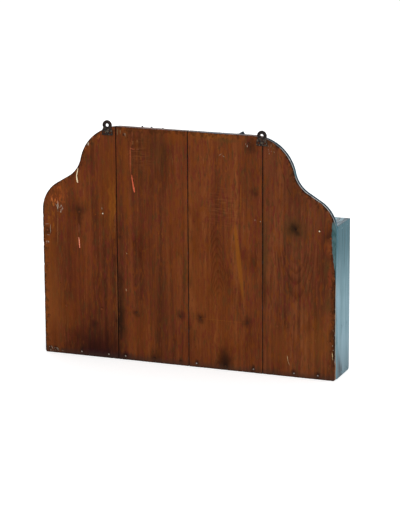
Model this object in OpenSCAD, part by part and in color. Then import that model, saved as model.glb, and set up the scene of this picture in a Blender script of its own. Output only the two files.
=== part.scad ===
// Wall mirror with shelf. A box of painted boards stands in front of four nailed
// planks, and the planks rise above it in a crest sawn to an ogee curve. The
// mirror sits in the upper niche, and the open bay under it is the shelf.
// Millimetres, +Z up. The mirror faces -Y, and the bare back of the planks faces +Y.
// The origin is under the middle of the whole, at the height it stands on.
// Left and right are those of someone who looks into the mirror.
// The planks are numbered from +X to -X, which is left to right from behind.

/* [Box] */
// Width over the side panels, which is the planks' width too
board_w = 638; // [560:1:760]
// Height of the side panels, up to the top face of the top board
box_h = 317; // [280:1:420]
// Depth of the side panels and the boards between them
side_d = 82; // [64:1:140]
// Thickness of the side panels
side_t = 20; // [15:0.5:28]
// Thickness of the top board
top_t = 18; // [13:0.5:26]
// Thickness of the middle shelf
shelf_t = 15; // [12:0.5:22]
// Thickness of the bottom board
bottom_t = 16; // [12:0.5:24]
// Free height of the open bay between the bottom board and the middle shelf
bay_h = 80.5; // [50:0.5:110]
// Depth of the groove in each side panel that holds the shelf's end
housing_d = 6; // [3:0.5:9]
// Play of the shelf in its grooves, on each face
housing_play = 0.1; // [0.05:0.05:0.4]
// Radius of the rounded front edges of the boards
front_edge_r = 2.5; // [1:0.5:5]
// Radius of the worn lower front corners of the side panels
foot_corner_r = 8; // [2:0.5:9]

/* [Back planks] */
// Thickness of the planks
plank_t = 14.5; // [11:0.5:20]
// Radius of the worn lower corners of the back
back_corner_r = 4; // [1:0.5:6]
// Width of plank 1
plank_1_w = 166; // [130:0.5:190]
// Width of plank 2
plank_2_w = 155.5; // [130:0.5:180]
// Width of plank 3; plank 4 takes what is left
plank_3_w = 159.5; // [130:0.5:180]
// Open gap between two planks, left by the shrinking of the wood
joint_gap = 1.2; // [0.6:0.1:2.4]
// Thickness of the tongue that each plank but the last has on its -X edge
tongue_t = 4.5; // [3:0.5:6]
// How deep a tongue reaches into its neighbour
tongue_l = 4; // [2:0.5:4.5]
// Depth of the groove that takes it
groove_d = 5; // [4.5:0.5:8]
// Play on each side of a tongue in its groove
tongue_play = 0.15; // [0.05:0.05:0.4]

/* [Crest] */
// How far under the box's top the shoulder starts to curve
shoulder_drop = 10.7; // [0:0.1:30]
// Radius of the convex shoulder
shoulder_r = 70; // [50:1:80]
// Slope between the shoulder and the neck, in degrees
slope_angle = 31; // [22:1:38]
// Length of the straight run on that slope
slope_run = 30; // [10:1:50]
// Radius of the concave neck
neck_r = 60; // [40:1:75]
// Steepest slope, where the neck turns into the crown, in degrees
neck_angle = 78; // [64:1:84]
// Radius of the convex crown, up to the flat top
crown_r = 90; // [70:1:100]

/* [Crest rail] */
// Height of the moulded rail on the front of the crest
rail_h = 24; // [18:0.5:36]
// Thickness of the rail
rail_t = 12; // [9:0.5:18]
// How far the rail's top lies under the crest's top
rail_drop = 4; // [2:0.5:12]
// How far the rail's ends stop before the crest's curves
rail_inset = 2.5; // [0:0.5:20]
// Radius of the hollow along the rail's lower edge
rail_cove_r = 7; // [4:0.5:8]
// Radius of the rail's rounded upper edge
rail_nose_r = 4; // [2:0.5:6]

/* [Mirror and frame] */
// Width of the frame's moulding
frame_w = 22; // [18:0.5:32]
// Thickness of the frame's moulding
frame_t = 18; // [16:0.5:26]
// Play between the frame and the boards around it
frame_play = 0.3; // [0.2:0.1:1]
// Radius of the hollow that falls to the glass
frame_cove_r = 8; // [5:0.5:9]
// Width of the flat lip beside the glass
frame_lip = 2; // [1:0.5:4]
// Radius of the fine groove that sets off the hollow
quirk_r = 1; // [0.6:0.1:1.5]
// Width of the rebate that covers the glass's edge
rebate_w = 7; // [4:0.5:9]
// Thickness of the mirror glass
glass_t = 4; // [3:0.5:5]
// Thickness of the backing sheet behind the glass
backing_t = 2.5; // [1.5:0.5:3]
// Play of the glass and the backing sheet in the rebate
glass_play = 0.5; // [0.2:0.1:1]
// Play in front of the glass in the rebate
glass_front_play = 0.1; // [0.05:0.05:0.3]

/* [Hangers] */
// Distance of the hangers' eyes outside the ends of the crest's flat top
hanger_out = 23.5; // [18:0.5:32]
// How far both hangers sit towards +X, as they were nailed on by eye
hanger_shift = 3; // [0:0.5:5]
// Thickness of the hanger plates
hanger_t = 2; // [1.5:0.1:3]
// Outer radius of the eye
eye_r = 10.4; // [9:0.1:13]
// Radius of the hole in the eye
eye_hole_r = 3.3; // [3:0.1:5]
// Gap between the hole and the wood's edge below it
eye_gap = 1.2; // [0.2:0.1:2]
// Width of the plate at its foot
foot_w = 24; // [20:0.5:30]
// Width of the plate's neck, under the eye
neck_w = 18; // [16:0.5:20]
// Height from the hole's centre to the plate's foot
foot_drop = 21; // [18:0.5:30]
// Height of the plate's broad foot
foot_h = 12; // [10:0.5:14]

/* [Nails] */
// Radius of the nails' shanks
nail_r = 1.1; // [0.8:0.1:1.4]
// Radius of the nails' heads
nail_head_r = 2.3; // [1.8:0.1:3]
// Thickness of the nails' heads
nail_head_t = 1; // [0.6:0.1:1.5]
// How deep the heads are sunk under the wood
nail_sink = 0.3; // [0.1:0.1:1]
// Length of the nails that hold the planks
nail_l = 40; // [30:1:50]
// Length of the nails through the side panels into the boards' ends
side_nail_l = 48; // [40:1:60]
// Length of the nails that hold the crest rail
rail_nail_l = 22; // [18:1:24]
// Length of the nails that hold the hangers
hanger_nail_l = 13; // [10:1:15]
// Radius of the pins that hold the mirror frame
pin_r = 0.8; // [0.6:0.1:1]
// Play around a nail in the wood
nail_play = 0.05; // [0.02:0.01:0.1]
// Distance of the front nails through a side panel from its front
through_inset = 20; // [14:1:24]

/* [Hidden] */
$fn = 96;

// Colours
bare_wood = [0.43, 0.23, 0.12];
teal_paint = [0.44, 0.58, 0.62];
dark_iron = [0.20, 0.17, 0.16];
rusty_nail = [0.35, 0.27, 0.22];
silvered_glass = [0.80, 0.84, 0.86];
backing_brown = [0.50, 0.40, 0.30];

// Places from front to back
whole_d = side_d + plank_t + hanger_t + nail_head_t;
front_y = -whole_d / 2;
plank_y = front_y + side_d;
back_y = plank_y + plank_t;

// Places across
half_w = board_w / 2;
inner_half_w = half_w - side_t;
housed_half_l = inner_half_w + housing_d - housing_play;
plank_ws = [plank_1_w, plank_2_w, plank_3_w,
    board_w - plank_1_w - plank_2_w - plank_3_w - 3 * joint_gap];
function widths_before(i) = i == 0 ? 0 : widths_before(i - 1) + plank_ws[i - 1] + joint_gap;
// X of the edge of plank i, counted from 0, on its +X side
function plank_edge(i) = half_w - widths_before(i);
function plank_far_edge(i) = plank_edge(i) - plank_ws[i];
// X of a place on plank i, given as a share of its stretch between the side panels
function across(i, share) = (1 - share) * min(plank_edge(i), inner_half_w)
    + share * max(plank_far_edge(i), -inner_half_w);

// Heights
shelf_z = bottom_t + bay_h;
niche_z = shelf_z + shelf_t;
niche_top_z = box_h - top_t;
niche_h = niche_top_z - niche_z;

// The crest's outline on the +X side, from the shoulder up. Each point is where
// one stretch ends, and each centre is that of the arc between two points.
shoulder_centre = [half_w - shoulder_r, box_h - shoulder_drop];
shoulder_start = [half_w, box_h - shoulder_drop];
slope_normal = [sin(slope_angle), cos(slope_angle)];
crown_normal = [sin(neck_angle), cos(neck_angle)];
shoulder_end = shoulder_centre + shoulder_r * slope_normal;
slope_end = shoulder_end + slope_run * [-cos(slope_angle), sin(slope_angle)];
neck_centre = slope_end + neck_r * slope_normal;
neck_end = neck_centre - neck_r * crown_normal;
crown_centre = neck_end - crown_r * crown_normal;
board_h = crown_centre[1] + crown_r;
flat_half = crown_centre[0];
// Height of the crest's edge at a place x on the crown
function crown_edge_z(x) = crown_centre[1] + sqrt(pow(crown_r, 2) - pow(x - flat_half, 2));

// Crest rail
rail_half = flat_half - rail_inset;
rail_z = board_h - rail_drop - rail_h;
rail_nail_inset = 6;

// Mirror frame, its sight opening and the glass behind it
frame_half = inner_half_w - frame_play;
frame_h = niche_h - 2 * frame_play;
frame_z = niche_z + frame_play;
rebate_t = backing_t + glass_t + glass_front_play;
glass_inset = frame_w - rebate_w + glass_play;
glass_half = frame_half - glass_inset;
glass_h = frame_h - 2 * glass_inset;
glass_z = frame_z + glass_inset;
quirk_from_cove = 2.5;
cut = 1;

// Hangers: both at the height that clears the wood's edge under the higher one
hanger_xs = [hanger_shift - flat_half - hanger_out, hanger_shift + flat_half + hanger_out];
eye_z = crown_edge_z(min(abs(hanger_xs[0]), hanger_xs[1])) + eye_gap + eye_hole_r;
foot_z = eye_z - foot_drop;
foot_taper = 1;
waist_h = 3;
hanger_nail_x = 6.5;
hanger_nail_z = foot_z + foot_h / 2;

// Nails along each row: [plank, share of its stretch between the side panels]
bottom_nails = [[0, 0.02], [0, 0.43], [0, 0.85],
    [1, 0.095], [1, 0.513], [1, 0.88],
    [2, 0.1], [2, 0.5], [2, 0.88],
    [3, 0.5], [3, 0.88]];
shelf_nails = [[0, 0.2], [0, 0.75],
    [1, 0.262], [1, 0.886],
    [2, 0.151], [2, 0.797],
    [3, 0.23], [3, 0.8]];
top_nails = [[0, 0.11], [0, 0.43], [0, 0.79],
    [1, 0.2], [1, 0.8],
    [2, 0.2], [2, 0.8],
    [3, 0.52], [3, 0.895]];
// Heights of the nails into the side panels, as shares of the box's height
side_nail_shares = [0.1, 0.25, 0.42, 0.603, 0.741, 0.833, 0.93];
// Places of the nails through the side panels: clear of the back nails' tips, and near the front
through_clear = 3.5;
through_ys = [back_y - nail_l - through_clear, front_y + through_inset];
nail_tip_l = 3;
side_mid = half_w - side_t / 2;
// The bottom row has one more nail, into the foot of the right side panel
bottom_spots = concat([[side_mid, bottom_t / 2]],
    [for (n = bottom_nails) [across(n[0], n[1]), bottom_t / 2]]);
shelf_spots = [for (n = shelf_nails) [across(n[0], n[1]), shelf_z + shelf_t / 2]];
top_spots = [for (n = top_nails) [across(n[0], n[1]), box_h - top_t / 2]];
left_spots = [for (s = side_nail_shares) [-side_mid, s * box_h]];
right_spots = [for (s = side_nail_shares) [side_mid, s * box_h]];
rail_spots = [for (side = [-1, 1]) [side * (rail_half - rail_nail_inset), rail_z + rail_h / 2]];
through_zs = [bottom_t / 2, shelf_z + shelf_t / 2, box_h - top_t / 2];
// Frame pins: at both ends and the middle of the long pieces, at the middle of the short ones
pin_across = (frame_w - frame_lip - frame_cove_r) / 2;
pin_end = 60;
pin_stop = 3;
pin_l = frame_t + plank_t - pin_stop;
pin_head_over = 0.5;
pin_head_r = pin_r + pin_head_over;
pin_spots = concat(
    [for (x = [pin_end - frame_half, 0, frame_half - pin_end], z = [pin_across, frame_h - pin_across])
        [x, frame_z + z]],
    [for (side = [-1, 1]) [side * (frame_half - pin_across), frame_z + frame_h / 2]]);

// A slice of a disc between two directions, less than half a turn apart
module pie(centre, r, from, to) {
    reach = 2 * r;
    mid = (from + to) / 2;
    translate(centre) intersection() {
        circle(r);
        polygon([[0, 0], reach * [cos(from), sin(from)], reach * [cos(mid), sin(mid)],
            reach * [cos(to), sin(to)]]);
    }
}

// Outline of the planks' +X half, with true arcs
module half_outline() {
    difference() {
        union() {
            polygon([[0, 0], [half_w, 0], shoulder_start, shoulder_centre, shoulder_end,
                slope_end, neck_end, crown_centre, [flat_half, board_h], [0, board_h]]);
            pie(shoulder_centre, shoulder_r, 0, 90 - slope_angle);
            pie(crown_centre, crown_r, 90 - neck_angle, 90);
        }
        pie(neck_centre, neck_r, 270 - neck_angle, 270 - slope_angle);
        translate([half_w, 0]) mirror([1, 0]) corner_cut(back_corner_r);
    }
}

module board_outline() {
    half_outline();
    mirror([1, 0]) half_outline();
}

// What is cut away to round a convex corner of a profile. The corner is at the
// origin, and the material lies on its +X and +Y sides.
module corner_cut(r) {
    difference() {
        translate([-cut, -cut]) square(r + cut);
        translate([r, r]) circle(r);
    }
}

// Profile of a board's depth and thickness, with both front edges rounded.
// The front is at the origin, and the thickness runs along Y.
module board_profile(t) {
    difference() {
        square([side_d, t]);
        corner_cut(front_edge_r);
        translate([0, t]) mirror([0, 1]) corner_cut(front_edge_r);
    }
}

// A board between the side panels, of a given half length, with its underside at z
module cross_board(half_l, z, t) {
    translate([-half_l, front_y, z]) rotate([90, 0, 90]) linear_extrude(2 * half_l) board_profile(t);
}

// A nail along -Y, with the outer face of its head at the origin
module nail(length, r = nail_r, head_r = nail_head_r, head_t = nail_head_t) {
    rotate([90, 0, 0]) {
        cylinder(r = head_r, h = head_t);
        cylinder(r = r, h = length - nail_tip_l);
        translate([0, 0, length - nail_tip_l]) cylinder(r1 = r, r2 = 0, h = nail_tip_l);
    }
}

// The hole that such a nail fills, open from the wood's surface above its head
module nail_bore(length, r = nail_r, head_r = nail_head_r, head_t = nail_head_t, above = nail_sink + cut) {
    rotate([90, 0, 0]) {
        translate([0, 0, -above]) cylinder(r = head_r + nail_play, h = above + head_t + nail_play);
        cylinder(r = r + nail_play, h = length + nail_play);
    }
}

// Nails driven from behind at a list of [x, z] spots
module back_nails(spots, length) {
    for (s = spots) translate([s[0], back_y - nail_sink, s[1]]) nail(length);
}

module back_bores(spots, length) {
    for (s = spots) translate([s[0], back_y - nail_sink, s[1]]) nail_bore(length);
}

// Nails driven through a side panel towards the middle, on the side of the given sign
module place_through(side) {
    for (z = through_zs, y = through_ys)
        translate([side * (half_w - nail_sink), y, z]) rotate([0, 0, -90 * side]) children();
}

module hanger_nail_places(i) {
    for (side = [-1, 1])
        translate([hanger_xs[i] + side * hanger_nail_x, back_y + hanger_t + nail_head_t, hanger_nail_z])
            children();
}

module pin_places() {
    for (s = pin_spots)
        translate([s[0], plank_y - frame_t + nail_head_t, s[1]]) rotate([0, 0, 180]) children();
}

// Plan of plank i, with its tongue on the -X edge and its groove on the +X edge
module plank_plan(i) {
    tongue_y = plank_y + (plank_t - tongue_t) / 2;
    difference() {
        union() {
            translate([plank_far_edge(i), plank_y]) square([plank_ws[i], plank_t]);
            if (i < len(plank_ws) - 1) translate([plank_far_edge(i) - joint_gap - tongue_l, tongue_y])
                square([joint_gap + tongue_l + cut, tongue_t]);
        }
        if (i > 0) translate([plank_edge(i) - groove_d, tongue_y - tongue_play])
            square([groove_d + cut, tongue_t + 2 * tongue_play]);
    }
}

// Plank i, counted from 0, sawn to the board's outline and drilled for its nails
module plank(i) {
    color(bare_wood) difference() {
        intersection() {
            translate([0, back_y, 0]) rotate([90, 0, 0]) linear_extrude(plank_t) board_outline();
            translate([0, 0, -cut]) linear_extrude(board_h + 2 * cut) plank_plan(i);
        }
        back_bores(concat(bottom_spots, shelf_spots, top_spots, left_spots, right_spots), nail_l);
        back_bores(rail_spots, rail_nail_l);
        for (h = [0, 1]) hanger_nail_places(h) nail_bore(hanger_nail_l, above = 0, head_r = nail_r);
        pin_places() nail_bore(pin_l, pin_r, pin_r, nail_head_t);
    }
}

module back_plank_1() { plank(0); }
module back_plank_2() { plank(1); }
module back_plank_3() { plank(2); }
module back_plank_4() { plank(3); }

// Profile of a side panel seen from its side: front at the origin, height along Y
module side_profile() {
    difference() {
        square([side_d, box_h]);
        corner_cut(foot_corner_r);
        translate([0, box_h]) mirror([0, 1]) corner_cut(front_edge_r);
    }
}

// Plan of a side panel: thickness along X from the outer face, depth along Y from the front
module side_plan() {
    difference() {
        square([side_t, side_d]);
        corner_cut(front_edge_r);
        translate([side_t, 0]) mirror([1, 0]) corner_cut(front_edge_r);
    }
}

// The side panel at -X, with the groove for the shelf's end
module side_panel() {
    difference() {
        intersection() {
            translate([-half_w, front_y, 0]) rotate([90, 0, 90]) linear_extrude(side_t) side_profile();
            translate([-half_w, front_y, 0]) linear_extrude(box_h) side_plan();
        }
        translate([-inner_half_w - housing_d, front_y - cut, shelf_z - housing_play])
            cube([housing_d + cut, side_d + 2 * cut, shelf_t + 2 * housing_play]);
    }
}

module side_panel_left() {
    color(teal_paint) difference() {
        side_panel();
        back_bores(concat(bottom_spots, left_spots), nail_l);
        place_through(-1) nail_bore(side_nail_l);
    }
}

module side_panel_right() {
    color(teal_paint) difference() {
        mirror([1, 0, 0]) side_panel();
        back_bores(concat(bottom_spots, right_spots), nail_l);
        place_through(1) nail_bore(side_nail_l);
    }
}

// A cross board drilled for the nails of its own row and for those through the side panels
module nailed_board(half_l, z, t, spots) {
    color(teal_paint) difference() {
        cross_board(half_l, z, t);
        back_bores(spots, nail_l);
        for (side = [-1, 1]) place_through(side) nail_bore(side_nail_l);
    }
}

module top_board() { nailed_board(inner_half_w, niche_top_z, top_t, top_spots); }
module middle_shelf() { nailed_board(housed_half_l, shelf_z, shelf_t, shelf_spots); }
module bottom_board() { nailed_board(inner_half_w, 0, bottom_t, bottom_spots); }

// Profile of the crest rail: depth along X from the planks forward, height along Y
module rail_profile() {
    difference() {
        square([rail_t, rail_h]);
        translate([rail_t, 0]) circle(rail_cove_r);
        translate([rail_t, rail_h]) mirror([1, 1]) corner_cut(rail_nose_r);
    }
}

module crest_rail() {
    color(teal_paint) difference() {
        translate([rail_half, plank_y, rail_z]) rotate([90, 0, -90]) linear_extrude(2 * rail_half)
            rail_profile();
        back_bores(rail_spots, rail_nail_l);
    }
}

// Profile of the frame's moulding: width along X from the outer edge to the glass,
// thickness along Y from the planks forward
module frame_profile() {
    cove_x = frame_w - frame_lip;
    difference() {
        square([frame_w, frame_t]);
        translate([frame_w - rebate_w, -cut]) square([rebate_w + cut, rebate_t + cut]);
        translate([cove_x, frame_t]) circle(frame_cove_r);
        translate([cove_x, frame_t - frame_cove_r]) square([frame_lip + cut, frame_cove_r + cut]);
        translate([cove_x - frame_cove_r - quirk_from_cove, frame_t]) circle(quirk_r);
    }
}

// A mitred piece of the frame along X, with its outer edge at z = 0 and its back at y = 0
module frame_piece(length) {
    intersection() {
        translate([-length / 2, 0, 0]) rotate([90, 0, 90]) linear_extrude(length)
            rotate(90) frame_profile();
        translate([0, cut, 0]) rotate([90, 0, 0]) linear_extrude(frame_t + 2 * cut)
            polygon([[-length / 2, 0], [length / 2, 0],
                [length / 2 - frame_w, frame_w], [frame_w - length / 2, frame_w]]);
    }
}

// A piece of the frame on one edge, turned from the bottom edge about +Y, with its pins' holes
module frame_edge(turn, length, x, z) {
    color(teal_paint) difference() {
        translate([x, plank_y, z]) rotate([0, turn, 0]) frame_piece(length);
        pin_places() nail_bore(pin_l, pin_r, pin_head_r);
    }
}

module mirror_frame_bottom() { frame_edge(0, 2 * frame_half, 0, frame_z); }
module mirror_frame_top() { frame_edge(180, 2 * frame_half, 0, frame_z + frame_h); }
module mirror_frame_left() { frame_edge(90, frame_h, -frame_half, frame_z + frame_h / 2); }
module mirror_frame_right() { frame_edge(-90, frame_h, frame_half, frame_z + frame_h / 2); }

// A sheet behind the frame's rebate, from its front face back to the planks or the sheet behind
module rebate_sheet(front, t) {
    translate([-glass_half, plank_y - front, glass_z]) cube([2 * glass_half, t, glass_h]);
}

module mirror_glass() { color(silvered_glass) rebate_sheet(backing_t + glass_t, glass_t); }
module mirror_backing() { color(backing_brown) rebate_sheet(backing_t, backing_t); }

// Outline of a hanger plate around the centre of its hole: an eye on a sloping
// neck and a broad foot
module hanger_outline() {
    foot_top = foot_h - foot_drop;
    difference() {
        union() {
            circle(eye_r);
            polygon([[-foot_w / 2, -foot_drop], [foot_w / 2, -foot_drop],
                [foot_w / 2 - foot_taper, foot_top], [neck_w / 2, foot_top + waist_h],
                [neck_w / 2, 0], [-neck_w / 2, 0],
                [-neck_w / 2, foot_top + waist_h], [foot_taper - foot_w / 2, foot_top]]);
        }
        circle(eye_hole_r);
    }
}

module hanger(i) {
    color(dark_iron) difference() {
        translate([hanger_xs[i], back_y + hanger_t, eye_z]) rotate([90, 0, 0])
            linear_extrude(hanger_t) hanger_outline();
        hanger_nail_places(i) nail_bore(hanger_nail_l, head_t = 0, above = 0);
    }
}

module hanger_left() { hanger(0); }
module hanger_right() { hanger(1); }
module hanger_nails_left() { color(rusty_nail) hanger_nail_places(0) nail(hanger_nail_l); }
module hanger_nails_right() { color(rusty_nail) hanger_nail_places(1) nail(hanger_nail_l); }

module nails_bottom_row() { color(rusty_nail) back_nails(bottom_spots, nail_l); }
module nails_shelf_row() { color(rusty_nail) back_nails(shelf_spots, nail_l); }
module nails_top_row() { color(rusty_nail) back_nails(top_spots, nail_l); }
module nails_side_left() { color(rusty_nail) back_nails(left_spots, nail_l); }
module nails_side_right() { color(rusty_nail) back_nails(right_spots, nail_l); }
module nails_crest_rail() { color(rusty_nail) back_nails(rail_spots, rail_nail_l); }
module nails_through_left() { color(rusty_nail) place_through(-1) nail(side_nail_l); }
module nails_through_right() { color(rusty_nail) place_through(1) nail(side_nail_l); }
module frame_pins() { color(rusty_nail) pin_places() nail(pin_l, pin_r, pin_head_r); }

back_plank_1();
back_plank_2();
back_plank_3();
back_plank_4();
side_panel_left();
side_panel_right();
top_board();
middle_shelf();
bottom_board();
crest_rail();
mirror_glass();
mirror_backing();
mirror_frame_top();
mirror_frame_bottom();
mirror_frame_left();
mirror_frame_right();
hanger_left();
hanger_right();
hanger_nails_left();
hanger_nails_right();
nails_bottom_row();
nails_shelf_row();
nails_top_row();
nails_side_left();
nails_side_right();
nails_crest_rail();
nails_through_left();
nails_through_right();
frame_pins();
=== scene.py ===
"""The looks of the wall mirror with shelf, seen from behind as in the photograph.

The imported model, the camera and the lamps are in metres. Everything else is in
millimetres, which MM turns into metres. The shader nodes work in millimetres
too, on the object's own coordinates.
"""

import math
from collections import namedtuple

import bmesh
import bpy
from mathutils import Matrix, Vector, kdtree, noise


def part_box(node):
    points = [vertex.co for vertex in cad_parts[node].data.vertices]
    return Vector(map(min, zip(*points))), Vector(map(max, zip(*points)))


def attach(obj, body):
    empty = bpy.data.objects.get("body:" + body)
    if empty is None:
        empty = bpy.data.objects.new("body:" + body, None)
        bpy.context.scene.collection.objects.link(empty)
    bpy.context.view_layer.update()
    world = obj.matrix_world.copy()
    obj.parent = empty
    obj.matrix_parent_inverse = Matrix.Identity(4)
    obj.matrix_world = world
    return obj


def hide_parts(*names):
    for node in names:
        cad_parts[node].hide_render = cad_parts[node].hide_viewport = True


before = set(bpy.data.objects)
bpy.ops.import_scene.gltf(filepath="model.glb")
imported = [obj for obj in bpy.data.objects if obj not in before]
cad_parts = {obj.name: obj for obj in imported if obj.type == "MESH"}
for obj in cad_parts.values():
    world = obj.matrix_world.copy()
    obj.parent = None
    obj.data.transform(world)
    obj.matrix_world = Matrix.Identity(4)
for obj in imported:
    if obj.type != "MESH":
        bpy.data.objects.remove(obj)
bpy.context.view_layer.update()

MM = 0.001
BODY = "root"

PLANKS = ["back_plank_1", "back_plank_2", "back_plank_3", "back_plank_4"]
# The plank with teal paint slopped over its outer edge
SLOP_PLANK = "back_plank_4"
BACK_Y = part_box(PLANKS[0])[1].y / MM
PLANK_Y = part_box(PLANKS[0])[0].y / MM
HALF_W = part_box(PLANKS[0])[1].x / MM
TOP_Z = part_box(PLANKS[1])[1].z / MM
RAIL_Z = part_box("crest_rail")[1].z / MM
RAIL_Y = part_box("crest_rail")[0].y / MM
# x of the -X side of each open joint between two planks, and how wide the joints are
JOINTS = [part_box(node)[1].x / MM for node in PLANKS[1:]]
JOINT_W = 1.2


def box_mm(node):
    """The low and the high corner of a CAD node."""
    return [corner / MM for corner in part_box(node)]


SPANS = {node: [corner.x for corner in box_mm(node)] for node in PLANKS}


def touches(node, x, reach=0.0):
    """Whether a place on the back lies on a plank, or within reach of it."""
    start, end = SPANS[node]
    return start - reach <= x <= end + reach


def link_new(name, data):
    """A new object in the scene, made of a mesh, a camera or a lamp."""
    made = bpy.data.objects.new(name, data)
    bpy.context.scene.collection.objects.link(made)
    return made


def srgb(red, green, blue):
    """A screen colour from 0 to 255 as the linear colour that a shader takes."""
    def linear(part):
        share = part / 255
        return share / 12.92 if share <= 0.04045 else ((share + 0.055) / 1.055) ** 2.4
    return (linear(red), linear(green), linear(blue), 1.0)

# Camera: fitted to the outline of the back and the edges of the box
EYE = Vector((-1.77962, 4.57344, 1.4516))
TARGET = Vector((-0.00642, -0.01449, 0.21864))
ROLL = math.radians(-0.371)
LENS = 172.83
# What the lamps point at: the middle of the object
MIDDLE = Vector((0, 0, 0.25))


def place_camera():
    """The camera of the photograph, with the colours as they are computed."""
    camera = link_new("camera", bpy.data.cameras.new("camera"))
    camera.data.lens = LENS
    camera.data.sensor_width = 36
    camera.data.clip_end = 100
    turn = (TARGET - EYE).to_track_quat("-Z", "Y").to_matrix() @ Matrix.Rotation(ROLL, 3, "Z")
    camera.matrix_world = Matrix.Translation(EYE) @ turn.to_4x4()
    bpy.context.scene.camera = camera
    bpy.context.scene.view_settings.view_transform = "Standard"


def place_lamp(name, place, size, power):
    """A square soft lamp that points at the object."""
    lamp = link_new(name, bpy.data.lights.new(name, "AREA"))
    lamp.data.size = size
    lamp.data.energy = power
    lamp.location = place
    lamp.rotation_euler = (MIDDLE - lamp.location).to_track_quat("-Z", "Y").to_euler()


class Look:
    """Builds one material. An input is a number, a colour, a vector or another node's output."""

    def __init__(self, name):
        self.material = bpy.data.materials.new(name)
        self.material.use_nodes = True
        self.tree = self.material.node_tree
        self.shader = self.tree.nodes["Principled BSDF"]
        spot = self.node("ShaderNodeTexCoord", {}, "Object")
        self.at = self.node("ShaderNodeVectorMath", {0: spot, 3: 1 / MM}, operation="SCALE")
        self.warped = self.at
        self.colour = None

    def node(self, kind, inputs, output=0, **settings):
        made = self.tree.nodes.new(kind)
        for key, value in settings.items():
            setattr(made, key, value)
        for key, value in inputs.items():
            if isinstance(value, bpy.types.NodeSocket):
                self.tree.links.new(value, made.inputs[key])
            else:
                made.inputs[key].default_value = value
        return made.outputs[output]

    def math(self, operation, *values, clamp=False):
        return self.node("ShaderNodeMath", dict(enumerate(values)), operation=operation, use_clamp=clamp)

    def plus(self, first, second):
        return self.math("ADD", first, second)

    def minus(self, first, second):
        return self.math("SUBTRACT", first, second)

    def scaled(self, value, factor, base):
        """A number times a factor, plus a base."""
        return self.math("MULTIPLY_ADD", value, factor, base)

    def times(self, *values):
        """The product of two or more numbers."""
        product = values[0]
        for value in values[1:]:
            product = self.math("MULTIPLY", product, value)
        return product

    def vector(self, operation, *values, output=0):
        return self.node("ShaderNodeVectorMath", dict(enumerate(values)), output, operation=operation)

    def stretched(self, across, along, axis="z"):
        """Coordinates for a texture: so many units a millimetre across one axis and along it."""
        scales = {"x": (along, across, across), "y": (across, along, across), "z": (across, across, along)}
        return self.vector("MULTIPLY", self.at, scales[axis])

    def noise(self, where, scale=1.0, detail=3.0, roughness=0.5, output=0):
        inputs = {"Vector": where, "Scale": scale, "Detail": detail, "Roughness": roughness}
        return self.node("ShaderNodeTexNoise", inputs, output)

    def drawn(self, across, along, axis="z", detail=3.0, roughness=0.5):
        """Noise that is drawn out along an axis."""
        return self.noise(self.stretched(across, along, axis), detail=detail, roughness=roughness)

    def warp(self, reach, scale):
        """Makes self.warped the coordinates shifted by up to about reach, for ragged outlines."""
        shift = self.noise(self.at, scale, 4.0, output="Color")
        centred = self.vector("SUBTRACT", shift, (0.5, 0.5, 0.5))
        self.warped = self.vector("MULTIPLY_ADD", centred, (2 * reach,) * 3, self.at)

    def band(self, value, low, high, bottom=0.0, top=1.0):
        """A smooth step of value from low to high, as a number from bottom to top."""
        inputs = {0: value, 1: low, 2: high, 3: bottom, 4: top}
        return self.node("ShaderNodeMapRange", inputs, interpolation_type="SMOOTHSTEP")

    def mix(self, share, first, second, kind="MIX"):
        inputs = {0: share, 6: first, 7: second}
        return self.node("ShaderNodeMix", inputs, 2, data_type="RGBA", blend_type=kind)

    def blend(self, share, first, second):
        """The same for two numbers."""
        return self.node("ShaderNodeMix", {0: share, 2: first, 3: second})

    def ramp(self, value, stops):
        """Colours along a value, from (place, colour) pairs."""
        output = self.node("ShaderNodeValToRGB", {0: value})
        elements = output.node.color_ramp.elements
        elements[0].position, elements[0].color = stops[0]
        elements[1].position, elements[1].color = stops[-1]
        for place, colour in stops[1:-1]:
            elements.new(place).color = colour
        return output

    def coat(self, tint, *shares, kind="MIX"):
        """Puts a tint over the colour so far, as strongly as the product of the shares."""
        self.colour = self.mix(self.times(*shares), self.colour, tint, kind)

    def split(self, vector, axis):
        """One of the three parts of a vector or a colour."""
        return self.node("ShaderNodeSeparateXYZ", {0: vector}, axis)

    def part(self, axis):
        """One of the three coordinates."""
        return self.split(self.at, axis)

    def facing(self, axis):
        """How far the surface faces along an axis, from -1 to 1."""
        return self.split(self.node("ShaderNodeNewGeometry", {}, "True Normal"), axis)

    def spot(self, where, centre, reach):
        """1 at the centre of an ellipsoid, 0 at its rim. An axis whose reach is 0 doesn't count."""
        scales = [1 / r if r else 0.0 for r in reach]
        shift = [-c * s for c, s in zip(centre, scales)]
        shares = self.vector("MULTIPLY_ADD", where, tuple(scales), tuple(shift))
        return self.band(self.vector("LENGTH", shares, output="Value"), 1.0, 0.0)

    def on_back(self, where, x, z, half_w, half_h):
        return self.spot(where, (x, 0, z), (half_w, 0, half_h))

    def edge(self, reach):
        """Up to 1 at sharp outer and inner edges, and 0 from about a quarter of reach away from them."""
        rounded = self.node("ShaderNodeBevel", {0: reach * MM}, samples=6)
        flat = self.node("ShaderNodeNewGeometry", {}, "True Normal")
        alike = self.vector("DOT_PRODUCT", rounded, flat, output="Value")
        return self.math("SUBTRACT", 1.0, alike, clamp=True)

    def finish(self, roughness, height, depth, metallic=0.0, specular=0.5):
        """Joins the layers to the shader. The relief's full height is depth."""
        self.tree.links.new(self.colour, self.shader.inputs["Base Color"])
        self.tree.links.new(roughness, self.shader.inputs["Roughness"])
        relief = self.node("ShaderNodeBump", {"Height": height, "Distance": depth * MM, "Strength": 1.0})
        self.tree.links.new(relief, self.shader.inputs["Normal"])
        self.shader.inputs["Metallic"].default_value = metallic
        self.shader.inputs["Specular IOR Level"].default_value = specular
        return self.material


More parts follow.
